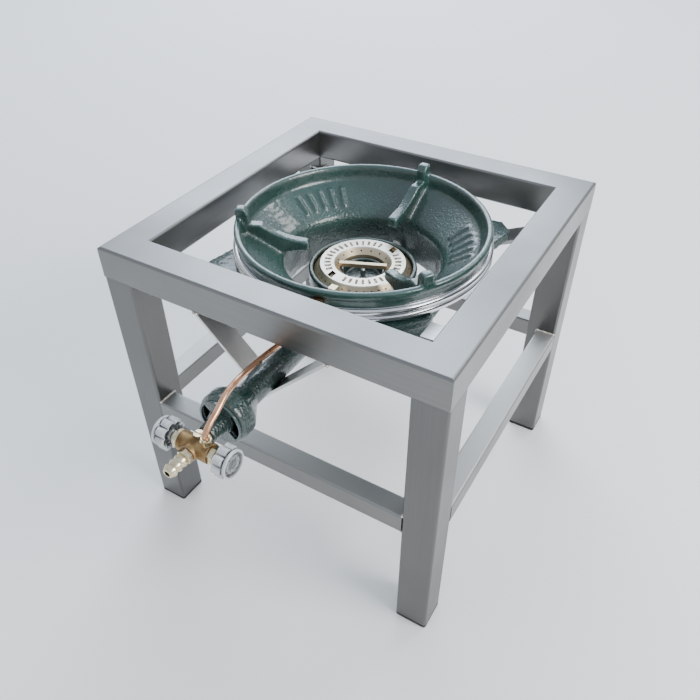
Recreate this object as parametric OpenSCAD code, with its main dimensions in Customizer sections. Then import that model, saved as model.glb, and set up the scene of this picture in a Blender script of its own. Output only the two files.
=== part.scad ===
/* [Stand] */
// Clear gap between the bowl's rim and the top rails
rail_gap = 19; // [17:0.5:60]
// Height of the stand's top face above the floor
stand_h = 387; // [360:1:480]
// Side of the square tube of the legs and top rails
leg_tube = 38; // [34:0.5:40]
// Wall thickness of the leg and rail tube
leg_wall = 1.5; // [1:0.1:2.5]
// Outer corner radius of the leg and rail tube
leg_corner = 3; // [2.6:0.1:4]
// Side of the square tube of the lower braces
brace_tube = 25; // [20:0.5:30]
// Wall thickness of the brace tube
brace_wall = 1.2; // [1:0.1:2]
// Outer corner radius of the brace tube
brace_corner = 2.5; // [2.1:0.1:4]
// Height of the braces' top faces above the floor
brace_top = 183; // [120:1:240]

/* [Feet] */
// Thickness of the foot cap under the leg
foot_h = 5; // [3:0.5:10]
// Diameter of the round pad that stands on the floor
pad_d = 32; // [26:0.5:34]
// Height of the foot cap's plug inside the leg
plug_h = 18; // [10:1:30]
// Wall thickness of the foot cap's plug
plug_wall = 3; // [2:0.5:5]

/* [Bowl] */
// Depth of the bowl's rim below the stand's top face
rim_drop = 9; // [2:0.5:14]
// Outer radius of the bowl's rim
rim_r = 143; // [138:0.5:148]
// Width of the rim's rolled lip
lip_w = 7; // [5:0.5:9]
// Height of the rim's rolled lip
lip_h = 9; // [7:0.5:11]
// How far the lip stands out past the bowl's outer wall
lip_out = 3; // [2:0.5:5]
// Inner radius of the open throat
throat_r = 90; // [80:0.5:94]
// Gap between the throat's bottom edge and the rear bracket
throat_gap = 7; // [4:0.5:10]
// Depth from the rim down to the foot of the inner slope
slope_depth = 41; // [38:0.5:44]
// Wall thickness of the casting
bowl_wall = 7; // [5:0.5:9]
// Clearance round the mixing tube in the bowl's front notch
notch_gap = 5; // [3:0.5:8]
// Thickness of the four bolting ears
ear_t = 12; // [9:0.5:14]
// Depth from the rim down to the ears' undersides
ear_depth = 46; // [45:0.5:48]

/* [Pot lugs] */
// Number of pot lugs
lug_count = 3; // [3:1:4]
// Azimuth of the lug nearest the back
lug_first = 87; // [80:1:100]
// Thickness of a pot lug
lug_t = 12; // [8:0.5:16]
// Height of the lug pads above the rim
lug_rise = 12; // [8:0.5:16]
// How far a lug's inner tip reaches in past the throat's edge
lug_reach = 28; // [24:0.5:30]
// Radius of the hollow in a lug's upper edge
lug_arc_r = 90; // [88:1:94]

/* [Support ring] */
// Height of the ribbed steel ring
ring_h = 17; // [14:0.5:19]
// How far each bead bulges out
bead_r = 4; // [3:0.25:4.5]
// Sheet thickness of the ring
ring_t = 1.2; // [0.8:0.1:2]

/* [Ring arms] */
// Width of the flat bars
arm_w = 25; // [20:0.5:30]
// Thickness of the flat bars
arm_t = 5; // [4:0.5:6]
// How far an arm reaches in under the bowl, from the rim
arm_under = 21; // [12:1:30]
// How far the ear bolts stand out past the rim
bolt_out = 11; // [8:0.5:14]

/* [Side tab] */
// Distance of the side tab's end from the ear's corner
tab_gap = 6; // [4:0.5:12]
// Distance of the side tab's middle from the ear bolt, to the back
tab_back = 3; // [0:0.5:8]

/* [Burner] */
// Depth of the mixing tube's axis below the bowl's rim
axis_drop = 84; // [74:1:90]
// Outer radius of the burner cup
cup_r = 63; // [62:0.5:66]
// Depth of the cup's rim below the bowl's rim
cup_drop = 59; // [54:0.5:64]
// Wall thickness of the cup
cup_wall = 5; // [4:0.5:6]
// Outer radius of the mixing tube
tube_r = 13.5; // [12:0.5:15]
// Radius of the mixing tube's bore
tube_bore_r = 9.5; // [8:0.5:10]
// Outer radius of the air bell
bell_r = 27; // [25:0.5:29]
// How far the bell's front face stands out past the stand
bell_out = 64; // [56:1:70]
// Length of the bell's round drum
bell_len = 18; // [16:1:28]
// Length of the neck in front of the bell
neck_len = 22; // [20:1:26]
// Outer radius of the neck
neck_r = 10; // [9:0.5:11]

/* [Burner cap] */
// Radius of the hole through the middle of the cap
cap_hole_r = 26.5; // [25:0.5:28]
// How far the cap's flat top stands above the cup's rim
cap_rise = 4; // [2:0.5:7]
// Width of the cap's outer chamfer
cap_chamfer = 8; // [6:0.5:9]
// Width of the cap's inner chamfer
cap_inner_chamfer = 7; // [5:0.5:8]
// Number of flame ports on the outer chamfer
outer_ports = 40; // [24:1:48]
// Number of flame ports on the inner chamfer
inner_ports = 16; // [8:1:20]
// Radius of a flame port
port_r = 1; // [0.6:0.1:1.3]
// Azimuth of the lifting bar across the cap
bar_az = 23; // [0:1:90]
// Azimuth of the first of the two finger pockets
pocket_az = 66; // [45:1:75]
// Width of the lifting bar
bar_w = 5; // [4:0.5:8]

/* [Tube sling and bracket] */
// Thickness of the bent steel strips
strap_t = 3; // [2:0.5:4]
// Width of the bent steel strips
strap_w = 25; // [18:0.5:30]
// Radius of the bracket's M8 bolts
bolt_r = 4; // [3:0.5:4]

/* [Gas valve] */
// Gap between the neck's end and the valve's barrel, bridged by the spud
valve_gap = 4.5; // [3:0.5:8]
// Outer radius of the valve's barrel
barrel_r = 10; // [9.5:0.5:12]
// Reach of the barrel to the right, to the pilot bonnet
barrel_right = 19; // [17:0.5:24]
// Reach of the barrel to the left, to the main bonnet
barrel_left = 16; // [15:0.5:22]
// Radius of the valve spindles
spindle_r = 3; // [2.5:0.1:3.4]
// Clearance on the radius of each running fit
run_gap = 0.05; // [0.02:0.01:0.1]
// Outer radius of the fluted knobs
knob_r = 16; // [14:0.5:18]
// Length of a knob along its spindle
knob_len = 15; // [12:0.5:18]
// Number of flutes round a knob
knob_lobes = 8; // [6:1:10]
// Outer radius of the hose barbs
barb_r = 6; // [5:0.25:7]
// Radius of the hose tail's bore
barb_bore_r = 3; // [2:0.25:3.5]
// Length of the hose tail in front of the barrel
barb_len = 27; // [24:1:34]

/* [Pilot line] */
// Outer diameter of the copper pilot tube
pilot_d = 6; // [4:0.5:7]
// Height of the nut that holds the pilot tube in the elbow
union_h = 7; // [6:0.5:8]

/* [Hidden] */
$fn = 64;

// A hair of clearance where curved faces of fixed pieces meet
seat_gap = 0.05;
// A cut runs this far past the face that it opens
over = 1;
stand_w = 2 * (rim_r + rail_gap + leg_tube);
half_w = stand_w / 2;
inner_w = half_w - leg_tube;
rail_z = stand_h - leg_tube;
leg_mid = half_w - leg_tube / 2;

// Burner and valve stand in line on the mixing tube's axis
rim_z = stand_h - rim_drop;
axis_z = rim_z - axis_drop;
bell_front = half_w + bell_out;
neck_end = bell_front + neck_len;
valve_front = neck_end + valve_gap + barrel_r;

// The hose tail reaches further than the stand, so the stand sits back by half
barb_root = valve_front + barrel_r + 1;
barb_tip = barb_root + barb_len;
stand_y = (barb_tip - half_w) / 2;

// Bowl levels
arm_top = rim_z - ear_depth;
wall_r = rim_r - lip_out;
lip_in_r = rim_r - lip_w;
slope_foot_r = throat_r + 6;
slope_foot_z = rim_z - slope_depth;
slope_head_r = lip_in_r - 4;
// The casting is split where its throat starts, so that each half stays a simple form
throat_top = slope_foot_z - 12;
slope_head_z = rim_z - 17;
ear_top = arm_top + ear_t;
throat_out_r = throat_r + bowl_wall;
lug_tip_r = throat_r - lug_reach;
lug_top = rim_z + lug_rise;
lug_tip_top = rim_z - 28;
lug_tip_low = rim_z - 40;

// Ears and bars
ear_bolt_r = rim_r + bolt_out;
ear_wide_r = rim_r - 1;
ear_wide = 35;
arm_inner_r = rim_r - arm_under;

// Burner levels
cup_top = rim_z - cup_drop;
cup_floor = axis_z - tube_bore_r - 0.5;
cup_bottom = cup_floor - cup_wall;
boss_z = cup_bottom - 4;
throat_z = boss_z + throat_gap;
ledge_z = cup_top - 10;
cup_in_r = cup_r - cup_wall;
ledge_r = cup_in_r - 5;
cap_lift_gap = 0.5;
cap_r = cup_in_r - cap_lift_gap;
cap_top = cup_top + cap_rise;
post_r = cap_hole_r - 0.5;
post_top = cap_top - 10;
well_r = post_r - 4;
well_z = post_top - 11;
stud_r = 3;
stud_foot = well_z - 7;
bar_z = cap_top - 7;
bar_t = 5;

// Bracket levels
bracket_y = throat_out_r + seat_gap;
bracket_bolt_z = throat_z + 18;
bracket_end = 14;
nut_t = 6.5;
bolt_head_h = 5.3;
bolt_head_r = 7.5;

// Valve places along X
hex_h = 6;
gland_h = 3;
knob_gap = 1;
seat_x = 4;
spindle_in = seat_x - 1.2;
jet_thread_r = 3.5;
shutter_gap = 0.1;
spud_r = 5.5;
spud_in = 10;
pilot_x = 14.5;
plug_x = 2;
plug_y = 4.5;
plug_seat = axis_z + barrel_r + 0.5;
nut_seat = axis_z + barrel_r + 1;
nut_h = 8;

// Pilot line places: the elbow stands on the ring's edge, just under the lip
elbow_az = -78;
elbow_w = 10;
elbow_low = ear_top + ring_h + 0.4;
elbow_top = rim_z - lip_h - 0.4;
elbow_z = (elbow_low + elbow_top) / 2;
elbow_in_r = wall_r + 0.5;
elbow_out_r = rim_r + 13;
elbow_shank_r = 3.1;
inlet_r = rim_r + 8.5;
inlet_x = inlet_r * cos(elbow_az);
inlet_y = inlet_r * -sin(elbow_az);
pilot_arm_d = 5;
nozzle_w = 8.5;
nozzle_len = 9;
nozzle_x = 2;
nozzle_z = cup_top + 6;
nozzle_tip = cup_r + 0.5;
nozzle_root = nozzle_tip + nozzle_len;

// Centre line of the copper tube, midway between the bell and the rail:
// x, distance to the front of the bowl's axis, height
pilot_high = (axis_z + bell_r + rail_z) / 2;
pilot_route = [
    [pilot_x, valve_front, nut_seat + 2],
    [pilot_x, valve_front, nut_seat + nut_h],
    [pilot_x, valve_front - 1, nut_seat + nut_h + 4],
    [pilot_x, valve_front - 8.5, pilot_high - 12],
    [14, valve_front - 19.5, pilot_high - 7],
    [11.5, bell_front, pilot_high - 1],
    [9.5, bell_front - 18, pilot_high],
    [9, bell_front - 42, pilot_high - 0.5],
    [10, half_w, pilot_high - 1],
    [13, half_w - 20, pilot_high - 1],
    [19, half_w - 35, pilot_high],
    [inlet_x - 4.5, inlet_y + 6, pilot_high + 5],
    [inlet_x - 0.6, inlet_y + 1, elbow_low - 12.4],
    [inlet_x, inlet_y, elbow_low - 4],
    [inlet_x, inlet_y, elbow_low + 2]
];

// Centre line of the short tube inside the bowl, from the elbow to the nozzle
arm_x = (lip_in_r - 3) * cos(elbow_az);
arm_y = (lip_in_r - 3) * -sin(elbow_az);
arm_route = [
    [1.05 * arm_x, 1.05 * arm_y, elbow_z],
    [arm_x, arm_y, elbow_z],
    [0.955 * arm_x, 0.955 * arm_y, elbow_z - 1.4],
    over_slope(0.585, 79.2, 5.4),
    over_slope(0.086, 81.3, 6.9),
    [9, (throat_r + nozzle_root + 9.5) / 2, nozzle_z + 10.5],
    [4, nozzle_root + 6.5, nozzle_z + 3.6],
    [nozzle_x, nozzle_root + 2.5, nozzle_z + 0.6],
    [nozzle_x, nozzle_root, nozzle_z],
    [nozzle_x, nozzle_root - 3, nozzle_z]
];

// Point above the bowl's slope: share of the way up it, angle from the right, height over it
function over_slope(share, angle, rise) =
    let (r = slope_foot_r + share * (slope_head_r - slope_foot_r))
    [r * cos(angle), r * sin(angle), slope_foot_z + share * (slope_head_z - slope_foot_z) + rise];

module seated() {
    translate([0, stand_y, 0]) children();
}

// A square with rounded corners, centred
module round_square(side, corner) {
    square([side - 2 * corner, side], center = true);
    square([side, side - 2 * corner], center = true);
    for (x = [-1, 1], y = [-1, 1])
        translate([x * (side / 2 - corner), y * (side / 2 - corner)]) circle(corner);
}

module tube_section(side, wall, corner) {
    difference() {
        round_square(side, corner);
        round_square(side - 2 * wall, corner - wall);
    }
}

// A square tube that lies along X, centred
module tube_along_x(length, side, wall, corner) {
    rotate([90, 0, 90])
        linear_extrude(length, center = true) tube_section(side, wall, corner);
}

// One mitred top rail at the front; the others are the same rail turned
module rail() {
    color("lightsteelblue") intersection() {
        translate([0, -leg_mid, rail_z + leg_tube / 2])
            tube_along_x(stand_w, leg_tube, leg_wall, leg_corner);
        translate([0, 0, rail_z - over]) linear_extrude(leg_tube + 2 * over)
            polygon([[-half_w, -half_w], [half_w, -half_w], [inner_w, -inner_w], [-inner_w, -inner_w]]);
    }
}

module leg(sx, sy) {
    color("silver") translate([sx * leg_mid, sy * leg_mid, foot_h])
        linear_extrude(rail_z - foot_h) tube_section(leg_tube, leg_wall, leg_corner);
}

module brace() {
    color("silver") translate([0, brace_tube / 2 - half_w, brace_top - brace_tube / 2])
        tube_along_x(2 * inner_w, brace_tube, brace_wall, brace_corner);
}

// Rubber cap: a hollow plug inside the leg, a flange under it and a round pad
module foot(sx, sy) {
    plug_side = leg_tube - 2 * leg_wall - 0.4;
    flange_h = 2;
    color("dimgray") translate([sx * leg_mid, sy * leg_mid, 0]) {
        difference() {
            union() {
                cylinder(h = foot_h, d = pad_d);
                translate([0, 0, foot_h - flange_h])
                    linear_extrude(flange_h) round_square(leg_tube, leg_corner);
                translate([0, 0, foot_h - over])
                    linear_extrude(plug_h + over) round_square(plug_side, 1.5);
            }
            translate([0, 0, foot_h])
                linear_extrude(plug_h + over) round_square(plug_side - 2 * plug_wall, 1);
        }
    }
}

// Flat bar on the diagonal, notched round the leg's inner corner
module arm(sx, sy) {
    turn = atan2(sy, sx);
    outer_r = inner_w * sqrt(2) + arm_w / 2;
    color("gainsboro") difference() {
        rotate([0, 0, turn]) translate([arm_inner_r, -arm_w / 2, arm_top - arm_t])
            cube([outer_r - arm_inner_r, arm_w, arm_t]);
        translate([sx * leg_mid, sy * leg_mid, arm_top - arm_t - over])
            linear_extrude(arm_t + 2 * over) round_square(leg_tube + 2 * seat_gap, leg_corner);
        rotate([0, 0, turn]) translate([ear_bolt_r, 0, arm_top - arm_t - over])
            cylinder(h = arm_t + 2 * over, r = bolt_r + 0.3);
    }
}

// Short bar under the right rail, beside the bowl's front right ear
module side_tab() {
    tip = (ear_wide_r + ear_wide) / sqrt(2) + tab_gap;
    front = ear_bolt_r / sqrt(2) - tab_back;
    color("lightsteelblue") translate([tip, -front - arm_w / 2, rail_z - arm_t])
        cube([half_w - leg_corner - tip, arm_w, arm_t]);
}

// V of flat strip under the front rail that carries the mixing tube
module tube_sling() {
    tip_in = axis_z - (tube_r + seat_gap) * sqrt(2);
    tip_out = tip_in - strap_t * sqrt(2);
    top_in = rail_z - tip_in;
    top_out = rail_z - tip_out;
    color("lightgray") translate([0, strap_w - half_w, 0]) rotate([90, 0, 0]) linear_extrude(strap_w)
        polygon([[0, tip_out], [top_out, rail_z], [top_in, rail_z], [0, tip_in],
                 [-top_in, rail_z], [-top_out, rail_z]]);
}

// Ribbed hoop round the bowl: two beads and a plain edge above and below
module support_ring() {
    base_r = wall_r + seat_gap + 0.25;
    color("gainsboro") translate([0, 0, ear_top]) rotate_extrude($fn = 128) {
        difference() {
            union() {
                translate([base_r, 0]) square([ring_t, ring_h]);
                for (s = [-1, 1]) translate([base_r + ring_t, ring_h / 2 + s * bead_r]) circle(bead_r);
            }
            for (s = [-1, 1])
                translate([base_r + ring_t, ring_h / 2 + s * bead_r]) circle(bead_r - ring_t);
            square([base_r, ring_h]);
        }
    }
}

// Half section of the bowl: radius and height
module bowl_section() {
    polygon([
        [throat_r, throat_top], [throat_out_r, throat_top], [throat_out_r + 3, slope_foot_z - 9],
        [wall_r - 4, ear_top - 2], [wall_r, ear_top + 2],
        [wall_r, rim_z - lip_h], [rim_r, rim_z - lip_h + 1],
        [rim_r, rim_z - 2.5], [rim_r - 1, rim_z - 0.7], [rim_r - 2.5, rim_z],
        [lip_in_r + 2, rim_z], [lip_in_r + 0.6, rim_z - 0.6], [lip_in_r, rim_z - 2],
        [lip_in_r - 1, rim_z - 5], [lip_in_r - 2.5, rim_z - 12],
        [slope_head_r, slope_head_z], [slope_foot_r + 4, slope_foot_z + 3],
        [slope_foot_r, slope_foot_z], [throat_r + 2, slope_foot_z - 4], [throat_r, slope_foot_z - 9]
    ]);
}

// Upright web of one pot lug: radius along X, height along Z
module lug() {
    arc_x = lug_tip_r - 4.6;
    arc_z = lug_tip_top + lug_arc_r;
    pad_in = rim_r - 15.5;
    pad_out = rim_r - 1;
    rotate([90, 0, 0]) linear_extrude(lug_t, center = true) {
        difference() {
            polygon([
                [lug_tip_r, lug_tip_low], [throat_r + 1, lug_tip_low - 1.5],
                [slope_foot_r + 2, slope_foot_z - 2], [slope_head_r + 1, slope_head_z - 4],
                [pad_out, rim_z - 6], [pad_out, lug_top], [lug_tip_r, lug_top]
            ]);
            translate([arc_x, arc_z]) circle(lug_arc_r, $fn = 128);
            translate([lug_tip_r - over, lug_top - 20]) square([pad_in - lug_tip_r + over, 20 + over]);
        }
    }
}

module ear(turn) {
    root_r = slope_foot_r + 12;
    tip_r = ear_bolt_r + 21;
    narrow = 12;
    rotate([0, 0, turn]) translate([0, 0, arm_top]) difference() {
        linear_extrude(ear_t)
            polygon([[root_r, 6 - ear_wide], [ear_wide_r, -ear_wide], [tip_r, -narrow],
                     [tip_r, narrow], [ear_wide_r, ear_wide], [root_r, ear_wide - 6]]);
        translate([ear_bolt_r, 0, -over]) cylinder(h = ear_t - 2 + over, r = bolt_r + seat_gap);
    }
}

module fire_bowl() {
    tick_len = 26;
    tick_w = 4;
    tick_rise = 3;
    slope_turn = atan2(slope_head_z - slope_foot_z, slope_head_r - slope_foot_r);
    color("darkslategray") difference() {
        union() {
            rotate_extrude($fn = 128) bowl_section();
            for (i = [0 : lug_count - 1]) rotate([0, 0, lug_first + i * 360 / lug_count]) lug();
            for (a = [45 : 90 : 315]) ear(a);
            for (group = [147, 27], k = [-2 : 2]) rotate([0, 0, group + k * 7])
                translate([slope_foot_r + 6, 0, slope_foot_z + 4]) rotate([0, -slope_turn, 0])
                    translate([0, -tick_w / 2, -3]) cube([tick_len, tick_w, tick_rise + 3]);
        }
        at_elbow() translate([lip_in_r - 8, 0, 0]) rotate([0, 90, 0])
            cylinder(h = 20, r = elbow_shank_r + seat_gap);
    }
}

// Straight throat under the bowl, notched for the mixing tube and drilled for the bracket
module bowl_throat() {
    notch_w = 2 * (tube_r + notch_gap);
    notch_top = axis_z + tube_r + 1;
    color("darkslategray") difference() {
        translate([0, 0, throat_z]) cylinder(h = throat_top - throat_z, r = throat_out_r, $fn = 128);
        translate([0, 0, throat_z - over])
            cylinder(h = throat_top - throat_z + 2 * over, r = throat_r, $fn = 128);
        translate([-notch_w / 2, -throat_out_r - over, throat_z - over])
            cube([notch_w, bowl_wall + 10, notch_top - throat_z + over]);
        translate([0, throat_r - 8, bracket_bolt_z]) rotate([-90, 0, 0])
            cylinder(h = bowl_wall + 16, r = bolt_r + 0.3);
    }
}

// M8 hex bolt, head down, shank up
module bolt(grip) {
    translate([0, 0, -bolt_head_h]) cylinder(h = bolt_head_h, r = bolt_head_r, $fn = 6);
    translate([0, 0, -over]) cylinder(h = grip + over, r = bolt_r);
}

module ear_bolts() {
    color("silver") for (a = [45 : 90 : 315]) rotate([0, 0, a])
        translate([ear_bolt_r, 0, arm_top - arm_t]) bolt(arm_t + ear_t - 4);
}

// A form turned about the mixing tube's axis: radius, distance to the front
module about_tube() {
    translate([0, 0, axis_z]) rotate([90, 0, 0]) rotate_extrude($fn = 96) children();
}

// Cup, mixing tube, air bell and neck, one iron casting
module burner_casting() {
    cone_len = 20;
    drum_back = bell_front - bell_len;
    bell_wall = 4;
    bell_in_r = bell_r - bell_wall;
    color("darkslategray") difference() {
        union() {
            rotate_extrude($fn = 96) polygon([
                [0, boss_z], [12, boss_z], [13, cup_bottom], [44, cup_bottom],
                [cup_r - 8, cup_bottom + 4], [cup_r, cup_bottom + 18],
                [cup_r, cup_top - 1.5], [cup_r - 1.5, cup_top], [0, cup_top]
            ]);
            about_tube() polygon([
                [0, 40], [tube_r, 40], [tube_r, drum_back - cone_len],
                [bell_r, drum_back], [bell_r, bell_front - 3], [bell_r - 2, bell_front],
                [neck_r, bell_front], [neck_r, neck_end], [0, neck_end]
            ]);
        }
        // chamber of the cup, round the middle post, with the cap's seat
        rotate_extrude($fn = 96) polygon([
            [post_r, cup_floor], [ledge_r, cup_floor], [ledge_r, ledge_z], [cup_in_r, ledge_z],
            [cup_in_r, cup_top + over], [0, cup_top + over], [0, well_z], [well_r, well_z],
            [well_r, post_top], [post_r, post_top]
        ]);
        translate([0, 0, stud_foot - 1]) cylinder(h = well_z - stud_foot + 2, r = stud_r + seat_gap);
        translate([0, 0, boss_z - over]) cylinder(h = 9, r = bolt_r + seat_gap);
        // bore of the mixing tube and hollow of the bell
        about_tube() polygon([
            [0, ledge_r - 8], [tube_bore_r, ledge_r - 8], [tube_bore_r, drum_back - cone_len],
            [bell_in_r, drum_back], [bell_in_r, bell_front - bell_wall], [0, bell_front - bell_wall]
        ]);
        // bore of the neck, which takes the valve's spud
        translate([0, over - bell_front + bell_wall, axis_z]) rotate([90, 0, 0])
            cylinder(h = neck_len + bell_wall + 2 * over, r = spud_r + seat_gap);
        translate([0, over - bell_front + bell_wall, axis_z]) rotate([90, 0, 0])
            linear_extrude(bell_wall + 2 * over) air_ports();
    }
}

// Two kidney openings, left and right of the hub
module air_ports() {
    port_in = neck_r + 3;
    port_out = bell_r - 5;
    span = 43;
    difference() {
        intersection() {
            circle(port_out);
            union() for (s = [-1, 1])
                polygon([[0, 0], [s * 40 * cos(span), -40 * sin(span)], [s * 40, 0],
                         [s * 40 * cos(span), 40 * sin(span)]]);
        }
        circle(port_in);
    }
}

module air_shutter() {
    plate_t = 2;
    color("darkslategray") translate([0, -bell_front - shutter_gap, axis_z])
    rotate([90, 0, 0]) difference() {
        union() {
            cylinder(h = plate_t, r = bell_r - 3);
            cylinder(h = plate_t + 3, r = neck_r + 2.2);
        }
        translate([0, 0, -over]) cylinder(h = 8, r = neck_r + run_gap);
        translate([0, 0, -over]) linear_extrude(plate_t + 2 * over) air_ports();
    }
}

module burner_cap() {
    t = 4;
    skirt_in = ledge_r + 1;
    slope_out = atan2(cap_chamfer + 2, cap_chamfer);
    slope_in = 45;
    pocket_r = cap_r - cap_chamfer - 6;
    color("burlywood") difference() {
        union() {
            rotate_extrude($fn = 96) polygon([
                [skirt_in, ledge_z], [cap_r, ledge_z], [cap_r, cap_top - cap_chamfer - 2],
                [cap_r - cap_chamfer, cap_top], [cap_hole_r + cap_inner_chamfer, cap_top],
                [cap_hole_r, cap_top - cap_inner_chamfer], [cap_hole_r, post_top - 3],
                [cap_hole_r + 2.5, post_top - 3], [cap_hole_r + 3, cap_top - cap_inner_chamfer - 1],
                [cap_hole_r + cap_inner_chamfer + 1, cap_top - t],
                [cap_r - cap_chamfer - 2, cap_top - t], [skirt_in, cap_top - cap_chamfer - 4]
            ]);
            rotate([0, 0, bar_az]) translate([-cap_hole_r - 1, -bar_w / 2, bar_z])
                cube([2 * cap_hole_r + 2, bar_w, bar_t]);
        }
        for (i = [0 : outer_ports - 1]) rotate([0, 0, (i + 0.5) * 360 / outer_ports])
            translate([cap_r - cap_chamfer / 2, 0, cap_top - cap_chamfer / 2 - 1])
                rotate([0, slope_out, 0]) cylinder(h = 20, r = port_r, center = true, $fn = 24);
        for (i = [0 : inner_ports - 1]) rotate([0, 0, (i + 0.5) * 360 / inner_ports])
            translate([cap_hole_r + cap_inner_chamfer / 2, 0, cap_top - cap_inner_chamfer / 2])
                rotate([0, -slope_in, 0]) cylinder(h = 16, r = port_r, center = true, $fn = 24);
        // two slanted finger pockets
        for (a = [0, 180]) rotate([0, 0, pocket_az + a]) translate([pocket_r, 0, cap_top - 2.5])
            linear_extrude(2.5 + over) polygon([[-5, -6], [5, -2], [5, 6], [-5, 2]]);
    }
}

module centre_stud() {
    top = bar_z - 1;
    color("silver") {
        translate([0, 0, stud_foot]) cylinder(h = top - 2 - stud_foot, r = stud_r);
        translate([0, 0, top - 2]) cylinder(h = 2, r1 = stud_r, r2 = stud_r - 1.2);
    }
}

// Strip that runs back under the cup and up the outside of the throat
module rear_bracket() {
    front_y = -14;
    top = bracket_bolt_z + bracket_end;
    color("lightgray") difference() {
        union() {
            translate([-strap_w / 2, front_y, boss_z - strap_t])
                cube([strap_w, bracket_y + strap_t - front_y, strap_t]);
            translate([-strap_w / 2, bracket_y, boss_z - strap_t])
                cube([strap_w, strap_t, top - boss_z + strap_t]);
        }
        translate([0, 0, boss_z - strap_t - over]) cylinder(h = strap_t + 2 * over, r = bolt_r + 0.3);
        translate([0, bracket_y - over, bracket_bolt_z]) rotate([-90, 0, 0])
            cylinder(h = strap_t + 2 * over, r = bolt_r + 0.3);
    }
}

module bracket_bolts() {
    head_seat = sqrt(throat_r * throat_r - bolt_head_r * bolt_head_r) - seat_gap;
    color("silver") {
        translate([0, 0, boss_z - strap_t]) bolt(strap_t + 7);
        translate([0, head_seat, bracket_bolt_z]) rotate([-90, 0, 0])
            bolt(bracket_y + strap_t + nut_t + 2.5 - head_seat);
    }
}

module bracket_nut() {
    color("silver") translate([0, bracket_y + strap_t, bracket_bolt_z]) rotate([-90, 0, 0])
        difference() {
            cylinder(h = nut_t, r = bolt_head_r, $fn = 6);
            translate([0, 0, -over]) cylinder(h = nut_t + 2 * over, r = bolt_r + seat_gap);
        }
}

module at_valve() {
    translate([0, -valve_front, axis_z]) children();
}

// Barrel along X: spud to the back, hose port in front, two seats on top.
// Gas comes in at the front, parts to both needle seats, and leaves from the
// left chamber to the jet and from the right chamber to the pilot tube.
module valve_body() {
    chamber_r = spindle_r + 2;
    spud_root = valve_front - neck_end;
    spud_end = spud_root + spud_in;
    jet_bore = 9;
    boss_low = barrel_r - 4;
    color("darkgoldenrod") at_valve() difference() {
        union() {
            translate([-barrel_left, 0, 0]) rotate([0, 90, 0])
                cylinder(h = barrel_left + barrel_right, r = barrel_r);
            translate([0, valve_front - barb_root, 0]) rotate([-90, 0, 0])
                cylinder(h = barb_root - neck_end - seat_gap, r = barrel_r - 1.5);
            rotate([-90, 0, 0]) cylinder(h = spud_end, r = spud_r);
            translate([pilot_x, 0, boss_low]) cylinder(h = nut_seat - axis_z - boss_low, r = 4.4);
            translate([plug_x, plug_y, boss_low]) cylinder(h = plug_seat - axis_z - boss_low, r = 5.5);
        }
        for (side = [-1, 1]) rotate([0, side * 90, 0]) translate([0, 0, seat_x])
            cylinder(h = barrel_left + barrel_right, r = chamber_r);
        rotate([0, 90, 0]) cylinder(h = 2 * seat_x + 2 * over, r = 2, center = true);
        rotate([90, 0, 0]) cylinder(h = barb_root - valve_front + over, r = barb_bore_r);
        rotate([-90, 0, 0]) translate([0, 0, jet_bore]) cylinder(h = spud_end - jet_bore - 5, r = 2.5);
        rotate([-90, 0, 0]) translate([0, 0, spud_end - 6]) cylinder(h = 7, r = jet_thread_r + seat_gap);
        translate([-6, 0, 0]) rotate([-90, 0, 0]) cylinder(h = jet_bore + 3.6, r = 1.4);
        translate([-7.4, jet_bore + 2.5, 0]) rotate([0, 90, 0]) cylinder(h = 7, r = 1.6);
        translate([pilot_x, 0, 0]) cylinder(h = nut_seat - axis_z + over, r = 2);
        translate([plug_x, plug_y, plug_seat - axis_z - 4]) cylinder(h = 5, r = 2.5 + seat_gap);
    }
}

// Jet that screws into the spud and blows into the bell
module injector() {
    start = neck_end - spud_in;
    jet_len = 10;
    thread_len = 5;
    color("goldenrod") translate([0, -start, axis_z]) rotate([-90, 0, 0]) difference() {
        union() {
            translate([0, 0, -thread_len]) cylinder(h = thread_len + 1, r = jet_thread_r);
            cylinder(h = 4, r = 4.6, $fn = 6);
            translate([0, 0, 4]) cylinder(h = jet_len - 4, r1 = 3.9, r2 = 2.4);
        }
        translate([0, 0, -thread_len - over]) cylinder(h = jet_len + thread_len - 1, r = 1.8);
        cylinder(h = jet_len + over, r = 0.6);
    }
}

module test_plug() {
    head_r = 4.5;
    color("gainsboro") translate([plug_x, plug_y - valve_front, plug_seat]) difference() {
        union() {
            cylinder(h = 3.5, r = head_r);
            translate([0, 0, -3.5]) cylinder(h = 4, r = 2.5);
        }
        translate([-head_r - over, -0.7, 1.8]) cube([2 * head_r + 2 * over, 1.4, 3]);
    }
}

// Hex, plain shank and three barbs
module hose_tail() {
    hex_len = 6;
    shank_r = barb_r - 1.3;
    step = (barb_len - hex_len - 2) / 3;
    color("palegoldenrod") translate([0, -barb_root, axis_z]) rotate([90, 0, 0]) difference() {
        union() {
            cylinder(h = hex_len, r = 8, $fn = 6);
            cylinder(h = barb_len, r = shank_r);
            for (i = [0 : 2]) translate([0, 0, barb_len - (i + 1) * step]) {
                cylinder(h = 1.5, r = barb_r);
                translate([0, 0, 1.5]) cylinder(h = step - 1.5, r1 = barb_r, r2 = shank_r);
            }
        }
        translate([0, 0, -over]) cylinder(h = barb_len + 2 * over, r = barb_bore_r);
    }
}

// Moves a piece drawn along +X from the barrel's right end to either end
module valve_side(right) {
    at_valve() rotate([0, 0, right ? 0 : 180]) translate([right ? barrel_right : barrel_left, 0, 0])
        rotate([0, 90, 0]) children();
}

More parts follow.
